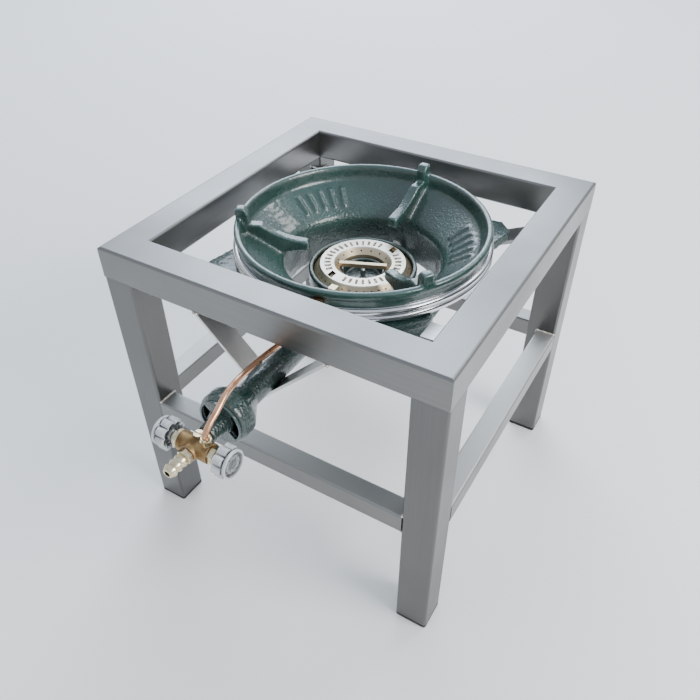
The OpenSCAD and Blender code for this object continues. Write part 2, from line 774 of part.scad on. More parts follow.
// Hex bonnet with a plug in the barrel and a round gland outside
module bonnet(right) {
    plug_r = spindle_r + 2 - seat_gap;
    color("darkgoldenrod") valve_side(right) difference() {
        union() {
            cylinder(h = hex_h, r = barrel_r - 1, $fn = 6);
            translate([0, 0, -5]) cylinder(h = 5 + over, r = plug_r);
            translate([0, 0, hex_h - over]) cylinder(h = gland_h + over, r = 6.5);
        }
        translate([0, 0, -6]) cylinder(h = hex_h + gland_h + 8, r = spindle_r + run_gap);
        translate([0, 0, 1]) cylinder(h = 2.2, r = spindle_r + 1.6);
    }
}

// Needle spindle, with its point in the barrel and its end in the knob
module spindle(right) {
    reach = right ? barrel_right : barrel_left;
    tip = 3;
    end = hex_h + gland_h + knob_gap + 9;
    color("khaki") valve_side(right) {
        translate([0, 0, spindle_in + tip - reach])
            cylinder(h = reach - spindle_in - tip + end, r = spindle_r);
        translate([0, 0, spindle_in - reach]) cylinder(h = tip, r1 = 1.2, r2 = spindle_r);
    }
}

// Rubber ring in the bonnet's groove
module seal(right) {
    ring_r = 0.7;
    color("black") valve_side(right) translate([0, 0, 2.1])
        rotate_extrude() translate([spindle_r + run_gap + ring_r, 0]) circle(ring_r, $fn = 24);
}

// Clear fluted knob with a domed face and a hollow back
module knob(right) {
    lobe_r = knob_r * 0.24;
    dome_r = knob_r * 2.4;
    color("whitesmoke") valve_side(right) translate([0, 0, hex_h + gland_h + knob_gap]) difference() {
        intersection() {
            union() {
                cylinder(h = knob_len, r = knob_r - lobe_r);
                for (i = [0 : knob_lobes - 1]) rotate([0, 0, i * 360 / knob_lobes])
                    translate([knob_r - lobe_r, 0, 0]) cylinder(h = knob_len, r = lobe_r, $fn = 32);
            }
            translate([0, 0, knob_len - dome_r]) sphere(dome_r, $fn = 128);
        }
        difference() {
            translate([0, 0, -over]) cylinder(h = 5 + over, r = knob_r - 2 * lobe_r);
            translate([0, 0, -2 * over]) cylinder(h = 7 + over, r = spindle_r + 3);
        }
        translate([0, 0, -over]) cylinder(h = 9.2 + over, r = spindle_r + seat_gap);
    }
}

module pilot_nut() {
    color("palegoldenrod") translate([pilot_x, -valve_front, nut_seat]) difference() {
        union() {
            cylinder(h = nut_h - 3, r = 5.5, $fn = 6);
            cylinder(h = nut_h, r = 4.2);
        }
        translate([0, 0, -over]) cylinder(h = nut_h + 2 * over, r = pilot_d / 2 + 0.1);
    }
}

module union_nut() {
    color("palegoldenrod") translate([inlet_x, -inlet_y, elbow_low - union_h]) difference() {
        union() {
            cylinder(h = union_h - 2, r = 4.3);
            translate([0, 0, 2]) cylinder(h = union_h - 2, r = 5.2, $fn = 6);
        }
        translate([0, 0, -over]) cylinder(h = union_h + 2 * over, r = pilot_d / 2 + 0.1);
    }
}

// Frame at the elbow: X runs out from the bowl's axis, at the height of the wall hole
module at_elbow() {
    rotate([0, 0, elbow_az]) translate([0, 0, elbow_z]) children();
}

// Brass block outside the bowl, with a shank through the bowl's wall
module pilot_elbow() {
    h = elbow_top - elbow_low;
    shank_in = lip_in_r - 3.5;
    color("palegoldenrod") at_elbow() difference() {
        union() {
            translate([elbow_in_r, -elbow_w / 2, -h / 2]) cube([elbow_out_r - elbow_in_r, elbow_w, h]);
            translate([shank_in, 0, 0]) rotate([0, 90, 0])
                cylinder(h = elbow_in_r - shank_in + 2, r = elbow_shank_r);
        }
        translate([shank_in - over, 0, 0]) rotate([0, 90, 0])
            cylinder(h = inlet_r - shank_in + over, r = pilot_arm_d / 2 + 0.1);
        translate([inlet_r, 0, -h / 2 - over]) cylinder(h = h / 2 + over, r = pilot_d / 2 + 0.1);
    }
}

// Brass block beside the cap, with the pilot's gas hole along it
module pilot_nozzle() {
    color("moccasin") translate([nozzle_x, -nozzle_tip, nozzle_z]) rotate([90, 0, 0]) difference() {
        translate([-nozzle_w / 2, -nozzle_w / 2, 0]) cube([nozzle_w, nozzle_w, nozzle_len]);
        translate([0, 0, -over]) cylinder(h = nozzle_len, r = 1);
        translate([0, 0, nozzle_len - 4]) cylinder(h = 4 + over, r = pilot_arm_d / 2 + 0.1);
    }
}

// Point of a smooth curve through p1 and p2, at t between them
function curve(p0, p1, p2, p3, t) =
    0.5 * (2 * p1 + (p2 - p0) * t + (2 * p0 - 5 * p1 + 4 * p2 - p3) * t * t
           + (3 * p1 - p0 - 3 * p2 + p3) * t * t * t);
function clip(i, n) = min(max(i, 0), n);
function smooth(route, steps) = let (n = len(route) - 1) concat(
    [for (i = [0 : n - 1], k = [0 : steps - 1])
        curve(route[clip(i - 1, n)], route[i], route[i + 1], route[clip(i + 2, n)], k / steps)],
    [route[n]]);
function unit(v) = v / norm(v);
function heading(path, i) = unit(path[clip(i + 1, len(path) - 1)] - path[clip(i - 1, len(path) - 1)]);

// Round tube along a route; the side vector stays close to the X axis
module swept_tube(route, r, sides, steps) {
    path = smooth(route, steps);
    last = len(path) - 1;
    rings = [for (i = [0 : last]) let (
        h = heading(path, i), u = unit([1, 0, 0] - h * h[0]), v = cross(h, u))
        for (k = [0 : sides - 1]) path[i] + r * (cos(k * 360 / sides) * u + sin(k * 360 / sides) * v)];
    walls = [for (i = [0 : last - 1], k = [0 : sides - 1])
        let (a = i * sides + k, b = i * sides + (k + 1) % sides) [a, a + sides, b + sides, b]];
    polyhedron(rings, concat([[for (k = [0 : sides - 1]) k]],
        walls, [[for (k = [0 : sides - 1]) last * sides + sides - 1 - k]]), convexity = 6);
}

function to_front(route) = [for (p = route) [p[0], -p[1], p[2]]];

module pilot_tube() {
    color("peru") swept_tube(to_front(pilot_route), pilot_d / 2, 12, 3);
}

module pilot_arm() {
    color("peru") swept_tube(to_front(arm_route), pilot_arm_d / 2, 12, 3);
}

seated() rail();  // rail_front
seated() rotate([0, 0, 180]) rail();  // rail_back
seated() rotate([0, 0, 270]) rail();  // rail_left
seated() rotate([0, 0, 90]) rail();  // rail_right
seated() leg(-1, -1);  // leg_front_left
seated() leg(1, -1);  // leg_front_right
seated() leg(-1, 1);  // leg_back_left
seated() leg(1, 1);  // leg_back_right
seated() brace();  // brace_front
seated() rotate([0, 0, 180]) brace();  // brace_back
seated() rotate([0, 0, 270]) brace();  // brace_left
seated() rotate([0, 0, 90]) brace();  // brace_right
seated() foot(-1, -1);  // foot_front_left
seated() foot(1, -1);  // foot_front_right
seated() foot(-1, 1);  // foot_back_left
seated() foot(1, 1);  // foot_back_right
seated() arm(-1, -1);  // arm_front_left
seated() arm(1, -1);  // arm_front_right
seated() arm(-1, 1);  // arm_back_left
seated() arm(1, 1);  // arm_back_right
seated() side_tab();
seated() tube_sling();
seated() support_ring();
seated() fire_bowl();
seated() bowl_throat();
seated() ear_bolts();
seated() burner_casting();
seated() burner_cap();
seated() centre_stud();
seated() rear_bracket();
seated() bracket_bolts();
seated() bracket_nut();
seated() air_shutter();
seated() injector();
seated() valve_body();
seated() test_plug();
seated() hose_tail();
seated() bonnet(false);  // main_bonnet
seated() spindle(false);  // main_spindle
seated() seal(false);  // main_seal
seated() knob(false);  // main_knob
seated() bonnet(true);  // pilot_bonnet
seated() spindle(true);  // pilot_spindle
seated() seal(true);  // pilot_seal
seated() knob(true);  // pilot_knob
seated() pilot_nut();
seated() pilot_tube();
seated() union_nut();
seated() pilot_elbow();
seated() pilot_arm();
seated() pilot_nozzle();
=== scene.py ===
"""Stock pot stove: square stainless stand, green iron fire bowl, ring burner and gas valve."""

import math

import bmesh
import bpy
import numpy as np
from bpy.props import FloatProperty, FloatVectorProperty, IntProperty, PointerProperty
from mathutils import Euler, Matrix, Vector, noise


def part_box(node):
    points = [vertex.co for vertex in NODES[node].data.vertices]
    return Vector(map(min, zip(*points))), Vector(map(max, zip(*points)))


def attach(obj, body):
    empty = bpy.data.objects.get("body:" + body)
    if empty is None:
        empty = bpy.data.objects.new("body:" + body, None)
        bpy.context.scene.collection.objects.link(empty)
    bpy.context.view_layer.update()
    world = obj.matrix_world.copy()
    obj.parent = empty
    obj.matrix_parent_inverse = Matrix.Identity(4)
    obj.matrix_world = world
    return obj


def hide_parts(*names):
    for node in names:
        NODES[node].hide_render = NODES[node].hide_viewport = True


bl_info = {
    "name": "Stock pot stove",
    "version": (1, 0, 0),
    "blender": (4, 5, 0),
    "location": "View3D > Sidebar > Stove",
    "description": "Dresses the stove's solids with finishes, cast forms, welds and small fittings",
    "category": "Object",
}

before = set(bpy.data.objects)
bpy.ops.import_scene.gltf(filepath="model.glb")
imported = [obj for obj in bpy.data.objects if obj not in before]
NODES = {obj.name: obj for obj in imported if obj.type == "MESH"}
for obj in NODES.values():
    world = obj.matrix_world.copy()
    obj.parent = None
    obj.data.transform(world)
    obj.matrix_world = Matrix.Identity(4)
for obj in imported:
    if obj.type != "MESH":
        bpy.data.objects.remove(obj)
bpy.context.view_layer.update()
MM = 0.001  # metres in a millimetre


def middle(node):
    """Middle of a node's box."""
    low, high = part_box(node)
    return (low + high) / 2


# The bowl's axis, the burner tube's height and the valve's place come from the solids
AXIS_Y = middle("fire_bowl").y
TUBE_Z = middle("hose_tail").z
VALVE_Y = middle("main_spindle").y
CAP_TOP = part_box("burner_cap")[1].z
CAP_BAND = (36.5 * MM, 45.5 * MM)  # inner and outer radius of the cap's ring of marks
CAP_POCKET = math.radians(66)  # direction of one finger pocket; the other is opposite
THROAT_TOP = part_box("bowl_throat")[1].z
BRACES = ("brace_front", "brace_back", "brace_left", "brace_right")
CORNERS = {"front_left": (-1, -1), "front_right": (1, -1),
           "back_left": (-1, 1), "back_right": (1, 1)}
MERGE = 0.002 * MM  # corners of loose triangles closer than this are one
RELAX_ROUNDS = 3  # softening of a casting's edges

# Centre lines of the pilot tubes, in millimetres: x, distance to the front of the bowl's axis, height
PILOT_ROUTE = (
    (14.5, 300.5, 307), (14.5, 300.5, 313), (14.5, 299.5, 317), (14.5, 292, 323), (14, 281, 328),
    (11.5, 264, 334), (9.5, 246, 335), (9, 222, 334.5), (10, 200, 334), (13, 180, 334), (19, 165, 335),
    (27, 154, 340), (30.9, 149.2, 349), (31.5, 148.2, 357.4), (31.5, 148.2, 363.4),
)
ARM_ROUTE = (
    (29, 136.6, 365), (27.7, 130.1, 365), (26.4, 124.2, 363.6), (22, 115, 356.4), (15, 98, 346),
    (9, 86, 335.5), (4, 79, 328.6), (2, 75, 325.6), (2, 72.5, 325), (2, 69.5, 325),
)


# Properties

def length(name, description, default):
    return FloatProperty(name=name, description=description, default=default, unit="LENGTH",
                         precision=5)


def watts(name, description, default):
    return FloatProperty(name=name, description=description, default=default, min=0, unit="POWER")


def colour(name, description, default):
    return FloatVectorProperty(name=name, description=description, default=default, size=3,
                               subtype="COLOR", min=0, max=1)


class StoveSizes(bpy.types.PropertyGroup):
    """Sizes of the forms that the finishes add to the solids."""
    bowl_grid: length("Bowl grid", "Mesh size of the cast bowl", 1.72 * MM)
    burner_grid: length("Burner grid", "Mesh size of the burner casting", 1.3 * MM)
    valve_grid: length("Valve grid", "Mesh size of the valve's casting", 0.45 * MM)
    hammer_depth: length("Hammer depth", "Height of the casting's surface marks", 0.16 * MM)
    hammer_pitch: length("Hammer pitch", "Spacing of the casting's surface marks", 4.5 * MM)
    weld_width: length("Weld width", "Width of a weld bead", 3.8 * MM)
    weld_pitch: length("Weld pitch", "Spacing of a weld's ripples", 1.3 * MM)
    mark_length: length("Mark length", "Length of a raised mark on the cap", 7.5 * MM)
    mark_width: length("Mark width", "Width of a raised mark on the cap", 2.6 * MM)
    mark_count: IntProperty(name="Mark count", description="Marks round the cap", default=36, min=8)
    knob_lobes: IntProperty(name="Knob lobes", description="Flutes round a knob", default=8, min=6)


class StoveColours(bpy.types.PropertyGroup):
    """Colours of the finishes."""
    steel: colour("Steel", "Brushed stainless steel", (0.215, 0.212, 0.207))
    ring: colour("Ring", "Bright rolled steel", (0.72, 0.72, 0.73))
    green: colour("Green", "Paint on the castings", (0.012, 0.045, 0.036))
    cap: colour("Cap", "Pale cast brass", (0.74, 0.69, 0.59))
    brass: colour("Brass", "Sand-cast brass", (0.33, 0.215, 0.10))
    turned: colour("Turned brass", "Turned brass", (0.74, 0.65, 0.46))
    copper: colour("Copper", "Drawn copper", (0.78, 0.43, 0.27))
    zinc: colour("Zinc", "Zinc-plated steel", (0.66, 0.66, 0.64))
    rubber: colour("Rubber", "Black rubber", (0.012, 0.012, 0.013))
    clear: colour("Clear plastic", "Clear moulded plastic", (0.80, 0.83, 0.85))


class StoveStage(bpy.types.PropertyGroup):
    """The floor and the lights."""
    floor: colour("Floor", "Pale floor", (0.92, 0.90, 0.875))
    sky: colour("Sky", "Light from above", (0.76, 0.87, 1.0))
    sky_strength: FloatProperty(name="Sky strength", description="Strength of the light from above",
                                default=1.04, min=0)
    key_power: watts("Key power", "Power of the lamp at the right", 58.0)
    screen_power: watts("Screen power", "Power of the large screen at the back", 150.0)
    back_power: watts("Back power", "Power of the small lamp at the back", 20.0)


# Node materials

class Finish:
    """One material, built up node by node. Patterns read Object coordinates."""

    def __init__(self, name, colour, metallic, roughness, **sockets):
        self.material = bpy.data.materials.new(name)
        self.material.use_nodes = True
        self.tree = self.material.node_tree
        self.tree.nodes.clear()
        self.out = self.add("ShaderNodeOutputMaterial")
        self.skin = self.add("ShaderNodeBsdfPrincipled", {
            "Base Color": (*colour, 1), "Metallic": metallic, "Roughness": roughness,
            **sockets})
        self.tree.links.new(self.skin.outputs[0], self.out.inputs["Surface"])
        self.coords = self.add("ShaderNodeTexCoord").outputs["Object"]

    def add(self, kind, inputs=None, **settings):
        node = self.tree.nodes.new(kind)
        for key, value in settings.items():
            setattr(node, key, value)
        for key, value in (inputs or {}).items():
            if isinstance(value, bpy.types.NodeSocket):
                self.tree.links.new(value, node.inputs[key])
            else:
                node.inputs[key].default_value = value
        return node

    def noise(self, scale, detail, stretch=(1, 1, 1)):
        placed = self.add("ShaderNodeMapping", {"Vector": self.coords, "Scale": stretch})
        made = self.add("ShaderNodeTexNoise",
                        {"Vector": placed.outputs[0], "Scale": scale, "Detail": detail})
        return made.outputs["Fac"]

    def cells(self, scale):
        made = self.add("ShaderNodeTexVoronoi", {"Vector": self.coords, "Scale": scale})
        return made.outputs["Distance"]

    def upward(self, vector):
        """The Z part of a place or a direction."""
        return self.add("ShaderNodeSeparateXYZ", {0: vector}).outputs["Z"]

    def result(self, operation, first, second):
        return self.add("ShaderNodeMath", {0: first, 1: second}, operation=operation).outputs[0]

    def spread(self, value, low, high, start=0.0, end=1.0):
        made = self.add("ShaderNodeMapRange", {"Value": value, "From Min": start, "From Max": end,
                                               "To Min": low, "To Max": high})
        return made.outputs[0]

    def blend(self, factor, first, second):
        made = self.add("ShaderNodeMix", {"Factor": factor}, data_type="RGBA")
        for socket, value in zip((s for s in made.inputs if s.type == "RGBA"), (first, second)):
            if isinstance(value, bpy.types.NodeSocket):
                self.tree.links.new(value, socket)
            else:
                socket.default_value = (*value, 1)
        return next(s for s in made.outputs if s.type == "RGBA")

    def edges(self, low=0.52, high=0.60):
        """From 0 on flats and hollows to 1 on sharp outer edges."""
        found = self.add("ShaderNodeNewGeometry").outputs["Pointiness"]
        return self.spread(found, 0.0, 1.0, low, high)

    def wire(self, **sockets):
        for key, value in sockets.items():
            self.tree.links.new(value, self.skin.inputs[key.replace("_", " ")])

    def bump(self, *layers):
        """Each layer is a height, its depth in metres and its strength."""
        normal = None
        for height, depth, strength in layers:
            inputs = {"Height": height, "Distance": depth, "Strength": strength}
            if normal:
                inputs["Normal"] = normal
            normal = self.add("ShaderNodeBump", inputs).outputs[0]
        self.wire(Normal=normal)


def shade(base, factor):
    return tuple(min(1.0, c * factor) for c in base)


FINISHES = {}


def finish(name, make):
    """The material of that name, made once."""
    if name not in FINISHES:
        FINISHES[name] = make(name)
    return FINISHES[name]


def brushed_steel(colours, axis, light=1.0, top=1.0, kind="brushed_steel"):
    """Stainless steel with its grain along axis; light is painted light and shade that makes all of it
    paler or darker, top is painted light on its upward faces only.
    """
    def make(name):
        # Painted light and shade: light scales the whole colour, above 1 paler, below 1 darker
        steel = shade(colours.steel, light)
        f = Finish(name, steel, 1.0, 0.34)
        stretch = tuple(0.012 if i == axis else 1.0 for i in range(3))
        fine = f.noise(2600, 2, stretch)
        lines = f.noise(700, 3, stretch)
        clouds = f.noise(7, 4)
        tone = f.blend(f.spread(lines, 0, 1, 0.3, 0.7), shade(steel, 0.95), shade(steel, 1.05))
        worn = f.blend(f.spread(clouds, 0, 0.6, 0.35, 0.75), tone, shade(steel, 0.84))
        rough = f.result("ADD", f.spread(lines, 0.32, 0.37, 0.3, 0.7),
                         f.spread(clouds, -0.05, 0.07, 0.3, 0.7))
        # Painted light: the upward faces get a paler colour by top, and are also rougher
        if top > 1:
            normal = f.add("ShaderNodeNewGeometry").outputs["Normal"]
            up = f.spread(f.upward(normal), 0, 1, 0.6, 0.95)
            worn = f.blend(up, worn, shade(steel, top))
            rough = f.result("ADD", f.spread(up, 0, 0.25), rough)
        f.wire(Base_Color=worn, Roughness=rough)
        f.bump((fine, 0.010 * MM, 0.2), (lines, 0.012 * MM, 0.15))
        return f.material
    return finish(kind + "_" + "xyz"[axis], make)


def bright_steel(colours):
    """Rolled steel of the support ring: fine lines round the hoop, faint stains."""
    def make(name):
        f = Finish(name, colours.ring, 1.0, 0.14)
        lines = f.noise(900, 2, (0.05, 0.05, 1.0))
        clouds = f.noise(30, 4)
        stained = f.blend(f.spread(clouds, 0, 0.6, 0.4, 0.8), colours.ring, shade(colours.ring, 0.72))
        f.wire(Base_Color=stained, Roughness=f.spread(clouds, 0.10, 0.24, 0.3, 0.7))
        f.bump((lines, 0.04 * MM, 0.3))
        return f.material
    return finish("bright_steel", make)


def green_iron(colours):
    """Glossy green paint on a sand casting: pale edges, painted shade in the throat, dimpled above it.
    """
    def make(name):
        f = Finish(name, colours.green, 0.0, 0.36,
                   **{"Coat Weight": 0.8, "Coat Roughness": 0.13, "IOR": 1.55})
        grain = f.noise(520, 4)
        lumps = f.noise(170, 3)
        clouds = f.noise(14, 4)
        tone = f.blend(f.spread(clouds, 0, 1, 0.35, 0.68),
                       shade(colours.green, 0.7), shade(colours.green, 1.4))
        speck = f.blend(f.spread(grain, 0, 0.4, 0.58, 0.74), tone, (0.08, 0.13, 0.11))
        worn = f.blend(f.edges(), speck, (0.10, 0.17, 0.17))
        height = f.upward(f.coords)
        # Painted shade: inside the throat the colour darkens towards 0.3 of the green
        painted_throat_shade = f.spread(height, 1, 0, THROAT_TOP - 10 * MM, THROAT_TOP + 4 * MM)
        dark = f.blend(f.spread(painted_throat_shade, 0, 0.7), worn, shade(colours.green, 0.3))
        rough = f.spread(height, 1, 0.2, THROAT_TOP + 22 * MM, THROAT_TOP + 36 * MM)
        dimples = f.result("MULTIPLY", f.cells(380), rough)
        f.wire(Base_Color=dark, Roughness=f.spread(lumps, 0.24, 0.46, 0.3, 0.7))
        f.bump((grain, 0.22 * MM, 0.45), (lumps, 0.5 * MM, 0.35), (dimples, 0.9 * MM, 0.75))
        return f.material
    return finish("green_iron", make)


def pale_brass(colours):
    """Cast brass of the burner cap, with sooty finger pockets."""
    def make(name):
        f = Finish(name, colours.cap, 0.92, 0.34)
        grain = f.noise(900, 3)
        clouds = f.noise(60, 4)
        tone = f.blend(f.spread(clouds, 0, 1, 0.3, 0.7), shade(colours.cap, 0.82), colours.cap)
        dark = f.blend(f.edges(0.44, 0.50), (0.16, 0.13, 0.09), tone)
        soot = f.blend(f.spread(f.noise(500, 3), 0, 1, 0.35, 0.65),
                       (0.03, 0.022, 0.016), (0.09, 0.065, 0.04))
        flat = f.add("ShaderNodeMapping",
                     {"Vector": f.coords, "Location": (0, -AXIS_Y, 0), "Scale": (1, 1, 0)})
        from_axis = f.add("ShaderNodeVectorMath", {0: flat.outputs[0]}, operation="LENGTH")
        radius = from_axis.outputs["Value"]
        outward = f.spread(radius, 0, 1, CAP_BAND[0], CAP_BAND[0] + 0.6 * MM)
        inward = f.spread(radius, 1, 0, CAP_BAND[1], CAP_BAND[1] + 0.6 * MM)
        low = f.spread(f.upward(f.coords), 1, 0, CAP_TOP - 1.3 * MM, CAP_TOP - 0.7 * MM)
        pockets = f.result("MULTIPLY", f.result("MULTIPLY", outward, inward), low)
        sides = f.blend(f.spread(low, 0, 0.8), dark, (0.50, 0.385, 0.24))
        f.wire(Base_Color=f.blend(pockets, sides, soot),
               Roughness=f.spread(grain, 0.28, 0.50, 0.3, 0.7))
        f.bump((grain, 0.1 * MM, 0.35))
        return f.material
    return finish("pale_brass", make)


def smoked_brass(colours):
    """Raised marks of the cap, dark brown, and paler where they are rubbed."""
    def make(name):
        f = Finish(name, shade(colours.cap, 0.2), 0.8, 0.45)
        grain = f.noise(900, 3)
        rubbed = f.noise(260, 3)
        tone = f.blend(f.spread(rubbed, 0, 1, 0.45, 0.7),
                       (0.11, 0.075, 0.045), shade(colours.cap, 0.55))
        f.wire(Base_Color=tone, Roughness=f.spread(grain, 0.35, 0.6, 0.3, 0.7))
        f.bump((grain, 0.12 * MM, 0.5))
        return f.material
    return finish("smoked_brass", make)


def cast_brass(colours):
    """Sand-cast brass of the valve: warm, grainy, browned in patches."""
    def make(name):
        f = Finish(name, colours.brass, 1.0, 0.42)
        grain = f.noise(1400, 4)
        clouds = f.noise(110, 4)
        tone = f.blend(f.spread(clouds, 0, 1, 0.35, 0.65),
                       (0.17, 0.10, 0.045), shade(colours.brass, 1.15))
        worn = f.blend(f.edges(), tone, shade(colours.turned, 1.05))
        f.wire(Base_Color=worn, Roughness=f.spread(grain, 0.38, 0.62, 0.3, 0.7))
        f.bump((grain, 0.16 * MM, 0.6), (f.noise(420, 3), 0.25 * MM, 0.4))
        return f.material
    return finish("cast_brass", make)


def turned_brass(colours):
    """Turned brass of the nuts and the hose tail."""
    def make(name):
        f = Finish(name, colours.turned, 1.0, 0.2)
        lines = f.noise(2600, 2, (0.15, 1.0, 0.15))
        clouds = f.noise(220, 3)
        stained = f.blend(f.spread(clouds, 0, 0.7, 0.4, 0.75),
                          colours.turned, shade(colours.brass, 1.1))
        f.wire(Base_Color=stained, Roughness=f.spread(clouds, 0.14, 0.32, 0.3, 0.7))
        f.bump((lines, 0.03 * MM, 0.4))
        return f.material
    return finish("turned_brass", make)


def drawn_copper(colours):
    """Copper tube, bright with brown stains."""
    def make(name):
        f = Finish(name, colours.copper, 1.0, 0.22)
        clouds = f.noise(75, 4)
        dents = f.noise(130, 2)
        stained = f.blend(f.spread(clouds, 0, 0.85, 0.42, 0.7), colours.copper, (0.36, 0.17, 0.09))
        f.wire(Base_Color=stained, Roughness=f.spread(clouds, 0.16, 0.36, 0.3, 0.7))
        f.bump((dents, 0.3 * MM, 0.2))
        return f.material
    return finish("drawn_copper", make)


def zinc_plate(colours):
    """Zinc-plated steel of the bolts, the bracket and the stud."""
    def make(name):
        f = Finish(name, colours.zinc, 1.0, 0.34)
        cells = f.cells(420)
        clouds = f.noise(120, 3)
        dull = f.blend(f.spread(clouds, 0, 1, 0.35, 0.7), colours.zinc, shade(colours.zinc, 0.7))
        f.wire(Base_Color=dull, Roughness=f.spread(cells, 0.26, 0.44, 0.0, 0.9))
        f.bump((clouds, 0.06 * MM, 0.4))
        return f.material
    return finish("zinc_plate", make)


def weld_metal(colours):
    """Weld bead: bright ripples with straw and blue heat tint."""
    def make(name):
        f = Finish(name, colours.zinc, 1.0, 0.3)
        tint = f.noise(160, 2)
        warm = f.blend(f.spread(tint, 0, 1, 0.45, 0.6), (0.70, 0.70, 0.70), (0.62, 0.50, 0.34))
        f.wire(Base_Color=f.blend(f.spread(tint, 0, 0.7, 0.60, 0.70), warm, (0.30, 0.36, 0.50)))
        f.bump((f.noise(1800, 2), 0.05 * MM, 0.4))
        return f.material
    return finish("weld_metal", make)


def clear_plastic(colours):
    """Clear moulded plastic: painted highlights on its outer edges, painted shade in its hollows, with
    faint flow marks.
    """
    def make(name):
        f = Finish(name, colours.clear, 0.0, 0.06, **{"Transmission Weight": 0.55, "IOR": 1.5})
        flow = f.noise(90, 3)
        # Painted shade: near black in the hollows, grey on the rest of the body
        body = f.blend(f.edges(0.44, 0.50), shade(colours.clear, 0.05), shade(colours.clear, 0.34))
        # Painted highlight: near white on the sharp outer edges
        f.wire(Base_Color=f.blend(f.edges(0.51, 0.56), body, (0.97, 0.98, 1.0)),
               Roughness=f.spread(flow, 0.04, 0.12, 0.3, 0.7))
        return f.material
    return finish("clear_plastic", make)


def black_rubber(colours):
    """Matte rubber with scuffs."""
    def make(name):
        f = Finish(name, colours.rubber, 0.0, 0.75)
        scuffs = f.noise(260, 4)
        scuffed = f.blend(f.spread(scuffs, 0, 0.6, 0.5, 0.75), colours.rubber, (0.07, 0.07, 0.07))
        f.wire(Base_Color=scuffed, Roughness=f.spread(scuffs, 0.6, 0.9, 0.3, 0.7))
        f.bump((scuffs, 0.15 * MM, 0.4))
        return f.material
    return finish("black_rubber", make)


# Mesh helpers

def dress(material, *nodes):
    """Gives CAD nodes their material."""
    for name in nodes:
        slots = NODES[name].data.materials
        slots.clear()
        slots.append(material)


def smooth(mesh, angle):
    """Smooth shading with sharp edges where faces meet at more than the angle, in degrees."""
    mesh.shade_smooth()
    mesh.set_sharp_from_angle(angle=math.radians(angle))


def new_piece(name, mesh, material):
    mesh.materials.clear()
    mesh.materials.append(material)
    piece = bpy.data.objects.new(name, mesh)
    bpy.context.scene.collection.objects.link(piece)
    return piece


def settle(piece, body, slot, *nodes):
    """The piece moves with the body and stands for the nodes; slot is not used."""
    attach(piece, body)
    if nodes:
        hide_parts(*nodes)


def baked(piece):
    """The piece's mesh with its modifiers applied, as a plain mesh."""
    depsgraph = bpy.context.evaluated_depsgraph_get()
    depsgraph.update()
    mesh = bpy.data.meshes.new_from_object(piece.evaluated_get(depsgraph))
    bpy.data.objects.remove(piece)
    return mesh


def merged_copy(*nodes):
    """A closed copy of the loose triangles of one or more CAD nodes."""
    grid = bmesh.new()
    for node in nodes:
        grid.from_mesh(NODES[node].data)
    bmesh.ops.remove_doubles(grid, verts=grid.verts, dist=MERGE)
    mesh = bpy.data.meshes.new(nodes[0] + "_copy")
    grid.to_mesh(mesh)
    grid.free()
    return mesh


def cast_form(grid, *nodes):
    """The shape of the nodes with the soft edges of a casting: an even mesh, relaxed."""
    rough = new_piece(nodes[0] + "_rough", merged_copy(*nodes), None)
    remesh = rough.modifiers.new("grid", "REMESH")
    remesh.mode = "VOXEL"
    remesh.voxel_size = grid
    relax = rough.modifiers.new("relax", "SMOOTH")
    relax.factor = 0.5
    relax.iterations = RELAX_ROUNDS
    return baked(rough)


def hammer(mesh, depth, pitch):
    """Lifts and sinks the surface a little, as a sand mould leaves it."""
    mesh.update()
    count = len(mesh.vertices)
    places, normals = np.empty(count * 3), np.empty(count * 3)
    mesh.vertices.foreach_get("co", places)
    mesh.vertices.foreach_get("normal", normals)
    places, normals = places.reshape(-1, 3), normals.reshape(-1, 3)
    lift = np.array([noise.noise(Vector(p) / pitch) for p in places])
    places += normals * (lift * depth)[:, None]
    mesh.vertices.foreach_set("co", places.ravel())
    mesh.shade_smooth()
    mesh.update()


def lathe(profile, sides, reach):
    """Mesh turned about Z from (radius, height) points; reach(radius, angle, height) shapes a ring."""
    grid = bmesh.new()
    rings = []
    for radius, height in profile:
        if radius <= 0:
            rings.append([grid.verts.new((0, 0, height))])
            continue
        ring = []
        for i in range(sides):
            angle = 2 * math.pi * i / sides
            r = reach(radius, angle, height)
            ring.append(grid.verts.new((r * math.cos(angle), r * math.sin(angle), height)))
        rings.append(ring)
    for low, high in zip(rings, rings[1:]):
        for i in range(sides):
            j = (i + 1) % sides
            corners = [low[i % len(low)], low[j % len(low)],
                       high[j % len(high)], high[i % len(high)]]
            grid.faces.new(list(dict.fromkeys(corners)))
    if len(rings[0]) > 1 and len(rings[-1]) > 1:
        for i in range(sides):
            j = (i + 1) % sides
            grid.faces.new((rings[-1][i], rings[-1][j], rings[0][j], rings[0][i]))
    bmesh.ops.recalc_face_normals(grid, faces=grid.faces)
    mesh = bpy.data.meshes.new("lathe")
    grid.to_mesh(mesh)
    grid.free()
    return mesh


def turned_to(direction, place):
    """Matrix that lays local Z along direction, at place."""
    turn = Vector((0, 0, 1)).rotation_difference(Vector(direction)).to_matrix().to_4x4()
    return Matrix.Translation(place) @ turn


# Geometry node trees

def new_tree(name, *sockets):
    """A tree with named inputs after its geometry, each (name, socket type, default)."""
    tree = bpy.data.node_groups.new(name, "GeometryNodeTree")
    tree.is_modifier = True
    tree.interface.new_socket("Geometry", in_out="INPUT", socket_type="NodeSocketGeometry")
    for label, kind, default in sockets:
        tree.interface.new_socket(label, in_out="INPUT", socket_type=kind).default_value = default
    tree.interface.new_socket("Geometry", in_out="OUTPUT", socket_type="NodeSocketGeometry")
    return tree, tree.nodes.new("NodeGroupInput").outputs, tree.nodes.new("NodeGroupOutput").inputs[0]


